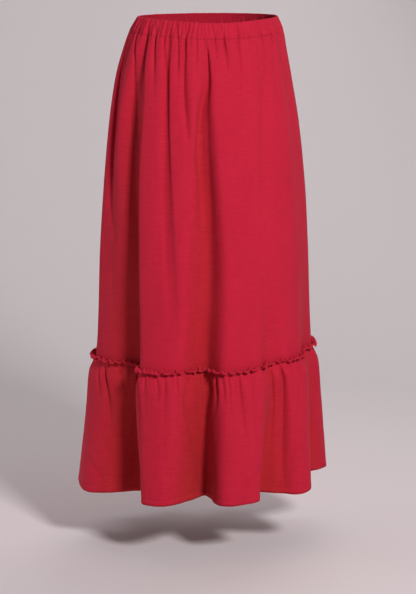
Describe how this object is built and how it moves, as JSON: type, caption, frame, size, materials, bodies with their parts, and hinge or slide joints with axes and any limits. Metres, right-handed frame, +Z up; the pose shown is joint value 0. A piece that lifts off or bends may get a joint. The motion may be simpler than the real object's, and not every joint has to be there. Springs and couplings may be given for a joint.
{
  "type": "long gathered skirt",
  "caption": "Worn ankle-length skirt with an elastic waist casing, a gathered straight body and one gathered tier with a frilled heading.",
  "frame": {"origin": "centre of the waist ring, halfway up the casing, where a wearer or a form holds the skirt", "axes": "+Z up through the waist, +X from the left of the picture to the right along the waist's width, -Y out of the skirt's front"},
  "size_m": [0.4986, 0.4231, 0.92],
  "materials": {
    "casing_cloth": "matt slubbed weave",
    "front_panel_cloth": "matt slubbed weave",
    "back_panel_cloth": "matt slubbed weave",
    "front_tier_cloth": "matt slubbed weave",
    "back_tier_cloth": "matt slubbed weave"
  },
  "bodies": {
    "root": {"waist_casing": "casing_cloth", "front_panel": "front_panel_cloth", "back_panel": "back_panel_cloth", "front_tier": "front_tier_cloth", "back_tier": "back_tier_cloth"}
  },
  "joints": []
}
